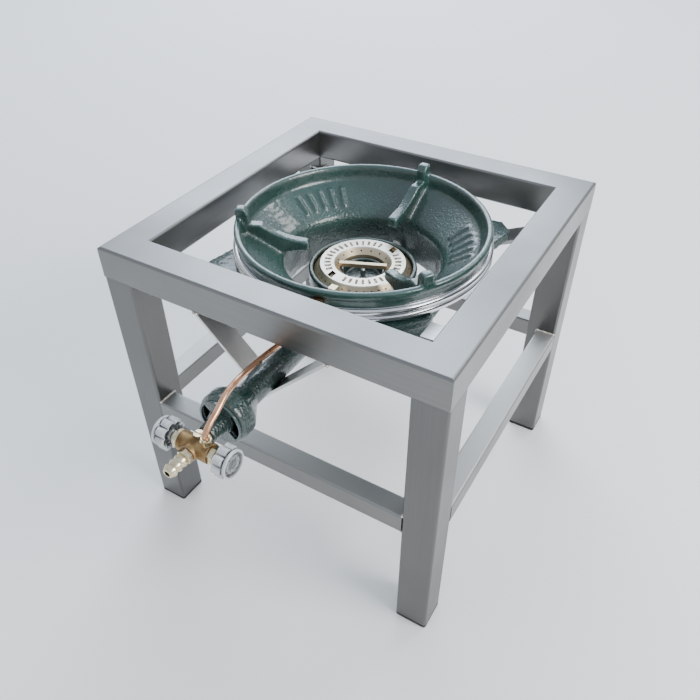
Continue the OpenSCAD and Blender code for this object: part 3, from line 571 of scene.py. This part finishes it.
def step(tree, kind, inputs=None, result=0, **settings):
    """Adds a node, sets or links its inputs and returns one of its outputs."""
    node = tree.nodes.new(kind)
    for key, value in settings.items():
        setattr(node, key, value)
    for key, value in (inputs or {}).items():
        if isinstance(value, bpy.types.NodeSocket):
            tree.links.new(value, node.inputs[key])
        else:
            node.inputs[key].default_value = value
    return node.outputs[result]


def close_tree(tree, geometry, material, output):
    """Ends a tree: real geometry, in its material."""
    solid = step(tree, "GeometryNodeRealizeInstances", {"Geometry": geometry})
    painted = step(tree, "GeometryNodeSetMaterial", {"Geometry": solid, "Material": material})
    tree.links.new(painted, output)
    return tree


def weld_tree(material):
    """Overlapping ripples along the edges of the input mesh."""
    tree, given, output = new_tree("Weld bead", ("Width", "NodeSocketFloat", 0.003),
                                   ("Pitch", "NodeSocketFloat", 0.0013), ("Seed", "NodeSocketInt", 1))
    line = step(tree, "GeometryNodeMeshToCurve", {"Mesh": given["Geometry"]})
    even = step(tree, "GeometryNodeResampleCurve",
                {"Curve": line, "Length": given["Pitch"]}, mode="LENGTH")
    half = step(tree, "ShaderNodeMath", {0: given["Width"], 1: 0.5}, operation="MULTIPLY")
    ball = step(tree, "GeometryNodeMeshUVSphere", {"Radius": half, "Segments": 8, "Rings": 5})
    turn = step(tree, "FunctionNodeAlignRotationToVector",
                {"Vector": step(tree, "GeometryNodeInputTangent")}, axis="X")
    size = step(tree, "FunctionNodeRandomValue",
                {"Min": (0.55, 0.85, 0.8), "Max": (0.75, 1.1, 1.05), "Seed": given["Seed"]},
                data_type="FLOAT_VECTOR")
    beads = step(tree, "GeometryNodeInstanceOnPoints",
                 {"Points": even, "Instance": ball, "Rotation": turn, "Scale": size})
    return close_tree(tree, beads, material, output)


def mark_tree(material):
    """Raised marks in a circle about Z, left out where a mark's direction is near the Pocket's.

    Gap is the cosine of the angle on each side of a pocket that stays free."""
    tree, given, output = new_tree(
        "Mark ring", ("Count", "NodeSocketInt", 40), ("Radius", "NodeSocketFloat", 0.04),
        ("Size", "NodeSocketVector", (0.005, 0.0015, 0.001)),
        ("Pocket", "NodeSocketVector", (1, 0, 0)), ("Gap", "NodeSocketFloat", 0.97))
    circle = step(tree, "GeometryNodeMeshCircle",
                  {"Vertices": given["Count"], "Radius": given["Radius"]})
    block = step(tree, "GeometryNodeMeshCube", {"Size": given["Size"]})
    place = step(tree, "GeometryNodeInputPosition")
    turn = step(tree, "FunctionNodeAlignRotationToVector", {"Vector": place}, axis="X")
    outward = step(tree, "ShaderNodeVectorMath", {0: place}, operation="NORMALIZE")
    across = step(tree, "ShaderNodeVectorMath", {0: outward, 1: given["Pocket"]}, result="Value",
                  operation="DOT_PRODUCT")
    near = step(tree, "ShaderNodeMath", {0: across}, operation="ABSOLUTE")
    clear = step(tree, "ShaderNodeMath", {0: near, 1: given["Gap"]}, operation="LESS_THAN")
    marks = step(tree, "GeometryNodeInstanceOnPoints",
                 {"Points": circle, "Selection": clear, "Instance": block, "Rotation": turn})
    return close_tree(tree, marks, material, output)


def band_tree(material):
    """A flat upright band along the input's edges."""
    tree, given, output = new_tree("Band", ("Depth", "NodeSocketFloat", 0.0015),
                                   ("Height", "NodeSocketFloat", 0.003))
    line = step(tree, "GeometryNodeMeshToCurve", {"Mesh": given["Geometry"]})
    level = step(tree, "GeometryNodeSetCurveNormal", {"Curve": line}, mode="Z_UP")
    section = step(tree, "GeometryNodeCurvePrimitiveQuadrilateral",
                   {"Width": given["Depth"], "Height": given["Height"]})
    band = step(tree, "GeometryNodeCurveToMesh",
                {"Curve": level, "Profile Curve": section, "Fill Caps": True})
    return close_tree(tree, band, material, output)


def tube_tree(material):
    """A smooth round tube along the input's edges."""
    tree, given, output = new_tree("Tube", ("Radius", "NodeSocketFloat", 0.003))
    line = step(tree, "GeometryNodeMeshToCurve", {"Mesh": given["Geometry"]})
    soft = step(tree, "GeometryNodeCurveSplineType", {"Curve": line}, spline_type="CATMULL_ROM")
    fine = step(tree, "GeometryNodeSetSplineResolution", {"Geometry": soft, "Resolution": 10})
    ring = step(tree, "GeometryNodeCurvePrimitiveCircle",
                {"Radius": given["Radius"], "Resolution": 28})
    tube = step(tree, "GeometryNodeCurveToMesh",
                {"Curve": fine, "Profile Curve": ring, "Fill Caps": True})
    return close_tree(tree, tube, material, output)


def grown(name, tree, lines, **values):
    """Plain mesh that a tree makes from polylines, given as lists of points."""
    verts, edges = [], []
    for points in lines:
        edges += [(len(verts) + i, len(verts) + i + 1) for i in range(len(points) - 1)]
        verts += [tuple(p) for p in points]
    mesh = bpy.data.meshes.new(name)
    mesh.from_pydata(verts, edges, [])
    seed = bpy.data.objects.new(name + "_seed", mesh)
    bpy.context.scene.collection.objects.link(seed)
    modifier = seed.modifiers.new("nodes", "NODES")
    modifier.node_group = tree
    for item in tree.interface.items_tree:
        if item.in_out == "INPUT" and item.name in values:
            modifier[item.identifier] = values[item.name]
    return baked(seed)


def from_front(point):
    """A route's point in the frame: x, distance to the front of the bowl's axis, height."""
    x, front, z = point
    return Vector((x * MM, AXIS_Y - front * MM, z * MM))


# Operators

class STOVE_OT_stage(bpy.types.Operator):
    """Floor, light and camera"""
    bl_idname = "stove.stage"
    bl_label = "Stage"

    camera_place = Vector((0.34306, -0.52657, 0.76723))
    camera_turn = Euler([math.radians(a) for a in (49.9712, 0.3719, 30.9406)], "XYZ")
    camera_lens = 36.118
    camera_sensor = 36

    # Place and width of each round lamp, in metres; all of them point at the target
    lamps = {"key": ((2.1, 0.0, 1.5), 1.4), "screen": ((-1.7, 2.8, 2.5), 3.2),
             "back": ((1.15, 2.8, 2.9), 0.9)}
    target = Vector((0, 0, 0.25))
    floor_half = 6
    horizon = (0.90, 0.895, 0.885)
    sky_full = 0.6  # how far up from the horizon the sky has its own colour

    def execute(self, context):
        stage = context.scene.stove_stage
        self.add_floor(stage)
        self.add_sky(context, stage)
        for name, (place, width) in self.lamps.items():
            colour = stage.sky if name == "screen" else (1, 1, 1)
            self.add_lamp(name, Vector(place), width, getattr(stage, name + "_power"), colour)
        camera = bpy.data.objects.new("camera", bpy.data.cameras.new("camera"))
        camera.data.sensor_width = self.camera_sensor
        camera.data.lens = self.camera_lens
        camera.matrix_world = Matrix.LocRotScale(self.camera_place, self.camera_turn, None)
        context.scene.collection.objects.link(camera)
        context.scene.camera = camera
        return {"FINISHED"}

    def add_floor(self, stage):
        half = self.floor_half
        mesh = bpy.data.meshes.new("floor")
        mesh.from_pydata([(-half, -half, 0), (half, -half, 0), (half, half, 0), (-half, half, 0)],
                         [], [(0, 1, 2, 3)])
        paper = Finish("floor_paper", stage.floor, 0.0, 0.9)
        paper.wire(Roughness=paper.spread(paper.noise(3, 3), 0.85, 0.95))
        new_piece("floor", mesh, paper.material)

    def add_sky(self, context, stage):
        world = bpy.data.worlds.new("sky")
        context.scene.world = world
        world.use_nodes = True
        tree = world.node_tree
        coords = tree.nodes.new("ShaderNodeTexCoord")
        axes = tree.nodes.new("ShaderNodeSeparateXYZ")
        ramp = tree.nodes.new("ShaderNodeValToRGB")
        tree.links.new(coords.outputs["Generated"], axes.inputs[0])
        tree.links.new(axes.outputs["Z"], ramp.inputs["Fac"])
        tree.links.new(ramp.outputs[0], tree.nodes["Background"].inputs["Color"])
        low, high = ramp.color_ramp.elements
        low.color = (*self.horizon, 1)
        high.color = (*stage.sky, 1)
        high.position = self.sky_full
        tree.nodes["Background"].inputs["Strength"].default_value = stage.sky_strength

    def add_lamp(self, name, place, width, power, colour):
        data = bpy.data.lights.new(name, "AREA")
        data.shape = "DISK"
        data.size = width
        data.energy = power
        data.color = colour
        lamp = bpy.data.objects.new(name, data)
        lamp.matrix_world = turned_to(place - self.target, place)
        bpy.context.scene.collection.objects.link(lamp)


class STOVE_OT_stand(bpy.types.Operator):
    """Brushed finish on the stand's tubes and bars, seams ground flush, and rubber foot caps"""
    bl_idname = "stove.stand"
    bl_label = "Stand"

    # Painted light and shade on the steel: the legs darker, the strips paler, and the braces' upward
    # faces paler
    leg_painted_shade = 0.72
    strip_painted_light = 3.0
    long_brace_painted_top_light = 1.9
    side_brace_painted_top_light = 2.8

    tube_corner = 3 * MM
    band_depth = 1.5 * MM
    band_height = 3.4 * MM
    band_sink = 0.02 * MM  # how far a band stays inside the tube's face
    band_overlap = 0.2 * MM  # how far it starts below the leg's top
    bend_steps = 5  # straight pieces in each rounded corner of a band

    # Foot caps: width of the skirt, the height under which its points are moved, and their new height
    skirt_width = 2.7 * MM
    skirt_reach = 4 * MM
    skirt_foot = 0.8 * MM

    def execute(self, context):
        colours = context.scene.stove_colours
        along_x, along_y = brushed_steel(colours, 0), brushed_steel(colours, 1)
        # Painted shade: the legs' steel, also used for the seams, is darker
        along_z = brushed_steel(colours, 2, self.leg_painted_shade)
        dress(along_x, "rail_front", "rail_back")
        dress(along_y, "rail_left", "rail_right")
        # Painted light: the braces' upward faces are paler
        dress(brushed_steel(colours, 0, top=self.long_brace_painted_top_light, kind="brace_steel"),
              "brace_front", "brace_back")
        dress(brushed_steel(colours, 1, top=self.side_brace_painted_top_light, kind="brace_steel"),
              "brace_left", "brace_right")
        # Painted light: the side tab and the sling are paler
        dress(brushed_steel(colours, 0, self.strip_painted_light, kind="pale_steel"),
              "side_tab", "tube_sling")
        dress(along_z, *("leg_" + corner for corner in CORNERS))
        dress(along_x, *("arm_" + corner for corner in CORNERS))
        self.add_seams(along_z)
        self.add_feet(black_rubber(colours))
        return {"FINISHED"}

    def add_seams(self, steel):
        """Bands that fill the groove between the legs and the rails, flush with both."""
        lines = []
        for corner in CORNERS:
            low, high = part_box("leg_" + corner)
            inset = self.band_depth / 2 + self.band_sink
            half = (high.x - low.x) / 2 - inset
            bend = self.tube_corner - inset
            centre = (low + high) / 2
            height = high.z + self.band_height / 2 - self.band_overlap
            reach = (half - bend) * math.sqrt(2)
            points = []
            for i in range(4 * (self.bend_steps + 1) + 1):
                quarter, part = divmod(i, self.bend_steps + 1)
                turn = math.radians(90 * (quarter + part / self.bend_steps))
                side = math.radians(90 * quarter + 45)
                points.append((centre.x + reach * math.cos(side) + bend * math.cos(turn),
                               centre.y + reach * math.sin(side) + bend * math.sin(turn), height))
            lines.append(points)
        mesh = grown("seams", band_tree(steel), lines, Depth=self.band_depth, Height=self.band_height)
        smooth(mesh, 40)
        settle(new_piece("ground_seams", mesh, steel), "stove", "stand_steel")

    def add_feet(self, rubber):
        """Foot caps with the skirt drawn down beside the pad."""
        for corner in CORNERS:
            node = "foot_" + corner
            mesh = merged_copy(node)
            low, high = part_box(node)
            centre, half = (low + high) / 2, (high.x - low.x) / 2
            for vertex in mesh.vertices:
                off = vertex.co - centre
                in_skirt = max(abs(off.x), abs(off.y)) > half - self.skirt_width
                if in_skirt and vertex.co.z < self.skirt_reach:
                    vertex.co.z = self.skirt_foot
            smooth(mesh, 40)
            settle(new_piece(node + "_cap", mesh, rubber), "stove", "foot_rubber", node)


class STOVE_OT_welds(bpy.types.Operator):
    """Weld beads where the braces, bars and sling meet the frame"""
    bl_idname = "stove.welds"
    bl_label = "Welds"

    face_gap = 1.5 * MM  # from the brace's outer face, which is ground flush
    bar_half = 16 * MM
    strip_width = 4 * MM
    seed = 4

    def execute(self, context):
        sizes = context.scene.stove_sizes
        material = weld_metal(context.scene.stove_colours)
        lines = self.brace_lines() + self.arm_lines() + self.strip_lines()
        mesh = grown("welds", weld_tree(material), lines,
                     Width=sizes.weld_width, Pitch=sizes.weld_pitch, Seed=self.seed)
        mesh.shade_smooth()
        settle(new_piece("weld_beads", mesh, material), "stove", "stand_steel")
        return {"FINISHED"}

    def brace_lines(self):
        """Over, behind and under each end of each brace, short of the flush outer face."""
        lines = []
        for name in BRACES:
            low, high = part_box(name)
            run = 0 if name in ("brace_front", "brace_back") else 1
            across = 1 - run
            outer_is_low = low[across] - AXIS_Y * across < 0
            if outer_is_low:
                outer, inner = low[across] + self.face_gap, high[across]
            else:
                outer, inner = high[across] - self.face_gap, low[across]
            for end in (low[run], high[run]):
                points = []
                for side, z in ((outer, high.z), (inner, high.z), (inner, low.z), (outer, low.z)):
                    point = [0, 0, z]
                    point[run], point[across] = end, side
                    points.append(point)
                lines.append(points)
        return lines

    def arm_lines(self):
        """Along both faces of the leg's inner corner, on top of each bar."""
        lines = []
        for corner, (sx, sy) in CORNERS.items():
            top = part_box("arm_" + corner)[1].z
            low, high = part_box("leg_" + corner)
            x = high.x if sx < 0 else low.x
            y = high.y if sy < 0 else low.y
            lines.append([(x + sx * self.bar_half, y, top), (x, y, top),
                          (x, y + sy * self.bar_half, top)])
        return lines

    def strip_lines(self):
        """Along the sling's top ends and the side tab, under the rails."""
        low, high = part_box("tube_sling")
        ends = (low.x, low.x + self.strip_width, high.x - self.strip_width, high.x)
        lines = [[(x, low.y, high.z), (x, high.y, high.z)] for x in ends]
        tab_low, tab_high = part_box("side_tab")
        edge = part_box("rail_right")[0].x
        for y in (tab_low.y, tab_high.y):
            lines.append([(edge, y, tab_high.z), (tab_high.x, y, tab_high.z)])
        return lines


class STOVE_OT_bowl(bpy.types.Operator):
    """Cast fire bowl, its support ring and the ear bolts"""
    bl_idname = "stove.bowl"
    bl_label = "Fire bowl"

    def execute(self, context):
        sizes, colours = context.scene.stove_sizes, context.scene.stove_colours
        mesh = cast_form(sizes.bowl_grid, "fire_bowl", "bowl_throat")
        hammer(mesh, sizes.hammer_depth, sizes.hammer_pitch)
        settle(new_piece("bowl_casting", mesh, green_iron(colours)), "stove", "green_iron",
               "fire_bowl", "bowl_throat")
        dress(bright_steel(colours), "support_ring")
        dress(zinc_plate(colours), "ear_bolts")
        return {"FINISHED"}


class STOVE_OT_burner(bpy.types.Operator):
    """Cast burner with its bell, the air shutter, the jet and the rear bracket"""
    bl_idname = "stove.burner"
    bl_label = "Burner"

    def execute(self, context):
        sizes, colours = context.scene.stove_sizes, context.scene.stove_colours
        paint = green_iron(colours)
        mesh = cast_form(sizes.burner_grid, "burner_casting")
        hammer(mesh, sizes.hammer_depth, sizes.hammer_pitch)
        settle(new_piece("burner_body", mesh, paint), "stove", "green_iron", "burner_casting")
        dress(paint, "air_shutter")
        dress(cast_brass(colours), "injector")
        dress(zinc_plate(colours), "centre_stud", "rear_bracket", "bracket_bolts", "bracket_nut")
        return {"FINISHED"}


class STOVE_OT_cap(bpy.types.Operator):
    """Burner cap and the raised marks round its flat top"""
    bl_idname = "stove.cap"
    bl_label = "Burner cap"

    mark_height = 1.2 * MM  # half of it stands above the cap
    pocket_gap = math.radians(15)

    def execute(self, context):
        sizes, colours = context.scene.stove_sizes, context.scene.stove_colours
        dress(pale_brass(colours), "burner_cap")
        mark_brass = smoked_brass(colours)
        size = (sizes.mark_length, sizes.mark_width, self.mark_height)
        pocket = (math.cos(CAP_POCKET), math.sin(CAP_POCKET), 0)
        mesh = grown("marks", mark_tree(mark_brass), [[(0, 0, 0)]], Count=sizes.mark_count,
                     Radius=sum(CAP_BAND) / 2, Size=size, Pocket=pocket,
                     Gap=math.cos(self.pocket_gap))
        mesh.transform(Matrix.Translation((0, AXIS_Y, CAP_TOP)))
        settle(new_piece("cap_marks", mesh, mark_brass), "burner_cap", "cap_brass")
        return {"FINISHED"}


class STOVE_OT_valve(bpy.types.Operator):
    """Valve body, bonnets, spindles, plug and hose tail"""
    bl_idname = "stove.valve"
    bl_label = "Valve"

    # Hose tail: its hexagon, the shank behind it and the bore
    hex_length = 6 * MM
    hex_flat = 6.93 * MM
    hex_corner = 8 * MM
    hex_end = 6.6 * MM
    chamfer = 0.8 * MM
    shank = 4.7 * MM
    bore = 3 * MM
    barbs = 3
    first_barb = 2 * MM  # from the hexagon
    tail_sides = 72

    def execute(self, context):
        sizes, colours = context.scene.stove_sizes, context.scene.stove_colours
        brass, bright = cast_brass(colours), turned_brass(colours)
        mesh = cast_form(sizes.valve_grid, "valve_body")
        mesh.shade_smooth()
        settle(new_piece("valve_casting", mesh, brass), "stove", "valve_brass", "valve_body")
        dress(bright, "main_bonnet", "pilot_bonnet", "main_spindle", "pilot_spindle", "test_plug")
        dress(black_rubber(colours), "main_seal", "pilot_seal")
        self.add_hose_tail(bright)
        return {"FINISHED"}

    def add_hose_tail(self, material):
        """Hexagon and barbs, turned from the hose tail's length and its crest's radius."""
        low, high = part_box("hose_tail")
        reach, crest = high.y - low.y, (high.z - low.z) / 2
        barb = (reach - self.hex_length - self.first_barb) / self.barbs
        shank, bore = self.shank, self.bore
        profile = [(bore, 0), (self.hex_end, 0), (self.hex_corner, self.chamfer),
                   (self.hex_corner, self.hex_length - self.chamfer),
                   (self.hex_end, self.hex_length), (shank, self.hex_length)]
        for i in range(self.barbs):
            start = self.hex_length + self.first_barb + i * barb
            profile += [(shank, start - 0.2 * MM), (crest - 0.35 * MM, start + 0.1 * MM),
                        (crest - 0.05 * MM, start + 0.6 * MM), (crest - 0.1 * MM, start + 1.3 * MM),
                        (shank + 0.1 * MM, start + barb - 0.4 * MM)]
        profile += [(shank - 0.5 * MM, reach - 0.2 * MM), (shank - 0.9 * MM, reach),
                    (bore + 0.3 * MM, reach), (bore, reach - 0.4 * MM)]

        def hexed(radius, angle, height):
            if height > self.hex_length or radius <= bore:
                return radius
            from_flat = (angle + math.pi / 6) % (math.pi / 3) - math.pi / 6
            return min(radius, self.hex_flat / math.cos(from_flat))

        mesh = lathe(profile, self.tail_sides, hexed)
        mesh.transform(turned_to((0, -1, 0), Vector((0, high.y, TUBE_Z))))
        smooth(mesh, 30)
        settle(new_piece("hose_barb", mesh, material), "stove", "fitting_brass", "hose_tail")


class STOVE_OT_knobs(bpy.types.Operator):
    """Clear fluted knobs of the main and pilot valves"""
    bl_idname = "stove.knobs"
    bl_label = "Knobs"

    # Height, radius and depth of flute, in millimetres: the spindle's hole and the hollow back
    inside = ((9.2, 0, 0), (9.2, 3.05, 0), (0.0, 3.05, 0), (0.0, 5.4, 0), (3.0, 6.0, 0),
              (3.4, 11.2, 1.2))
    # The fluted grip, the round rim and the star in the front
    outside = ((0, 12.4, 1.3), (1.0, 13.7, 2.1), (9.2, 13.7, 2.1), (10.3, 12.8, 1.4),
               (10.5, 12.2, 0.2), (11.3, 13.2, 0), (12.2, 14.1, 0), (14.2, 14.1, 0),
               (14.8, 13.4, 0), (14.8, 12.3, 0), (13.2, 11.3, 0.3), (12.8, 9.2, 0.9),
               (13.8, 7.6, 1.2), (13.8, 6.4, 1.0), (12.8, 4.8, 0.4), (12.9, 2.6, 0), (13.4, 0, 0))
    flute_power = 0.7  # under 1 makes the lobes round and the flutes narrow
    sides_per_lobe = 16

    def execute(self, context):
        sizes, colours = context.scene.stove_sizes, context.scene.stove_colours
        material = clear_plastic(colours)
        for valve, outward in (("main", -1), ("pilot", 1)):
            low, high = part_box(valve + "_knob")
            back = high.x if outward < 0 else low.x
            mesh = self.knob_mesh(sizes.knob_lobes)
            mesh.transform(turned_to((outward, 0, 0), Vector((back, VALVE_Y, TUBE_Z))))
            settle(new_piece(valve + "_knob_clear", mesh, material), valve + "_knob", "clear_plastic",
                   valve + "_knob")
        return {"FINISHED"}

    def knob_mesh(self, lobes):
        flutes = {}
        profile = []
        for height, radius, flute in self.inside + self.outside:
            flutes[(round(radius * MM, 7), round(height * MM, 7))] = flute * MM
            profile.append((radius * MM, height * MM))

        def fluted(radius, angle, height):
            depth = flutes[(round(radius, 7), round(height, 7))]
            return radius + depth * (2 * abs(math.cos(lobes * angle / 2)) ** self.flute_power - 1)

        mesh = lathe(profile, lobes * self.sides_per_lobe, fluted)
        smooth(mesh, 32)
        return mesh


class STOVE_OT_pilot_line(bpy.types.Operator):
    """Copper pilot tubes and their brass fittings"""
    bl_idname = "stove.pilot_line"
    bl_label = "Pilot line"

    # Piece, node, route and radius of each tube
    tubes = (("pilot_pipe", "pilot_tube", PILOT_ROUTE, 3 * MM),
             ("pilot_arm_pipe", "pilot_arm", ARM_ROUTE, 2.5 * MM))

    def execute(self, context):
        colours = context.scene.stove_colours
        copper = drawn_copper(colours)
        tree = tube_tree(copper)
        for name, node, route, radius in self.tubes:
            mesh = grown(name, tree, [[from_front(p) for p in route]], Radius=radius)
            smooth(mesh, 40)
            settle(new_piece(name, mesh, copper), "stove", "copper", node)
        dress(turned_brass(colours), "pilot_nut", "union_nut")
        dress(cast_brass(colours), "pilot_elbow", "pilot_nozzle")
        return {"FINISHED"}


class STOVE_PT_panel(bpy.types.Panel):
    """Lists the stove's pieces"""
    bl_idname = "STOVE_PT_panel"
    bl_label = "Stock pot stove"
    bl_space_type = "VIEW_3D"
    bl_region_type = "UI"
    bl_category = "Stove"

    def draw(self, context):
        for operator in OPERATORS:
            self.layout.operator(operator.bl_idname)


PROPERTIES = {"stove_sizes": StoveSizes, "stove_colours": StoveColours, "stove_stage": StoveStage}
OPERATORS = (STOVE_OT_stage, STOVE_OT_stand, STOVE_OT_welds, STOVE_OT_bowl, STOVE_OT_burner,
             STOVE_OT_cap, STOVE_OT_valve, STOVE_OT_knobs, STOVE_OT_pilot_line)


def register():
    for cls in (*PROPERTIES.values(), *OPERATORS, STOVE_PT_panel):
        bpy.utils.register_class(cls)
    for name, group in PROPERTIES.items():
        setattr(bpy.types.Scene, name, PointerProperty(type=group))


def unregister():
    for name in PROPERTIES:
        delattr(bpy.types.Scene, name)
    for cls in (STOVE_PT_panel, *reversed(OPERATORS), *PROPERTIES.values()):
        bpy.utils.unregister_class(cls)


def main():
    register()
    for operator in OPERATORS:
        call = getattr(bpy.ops.stove, operator.bl_idname.split(".")[1])
        call()
    bpy.context.view_layer.update()


if __name__ == "__main__":
    main()
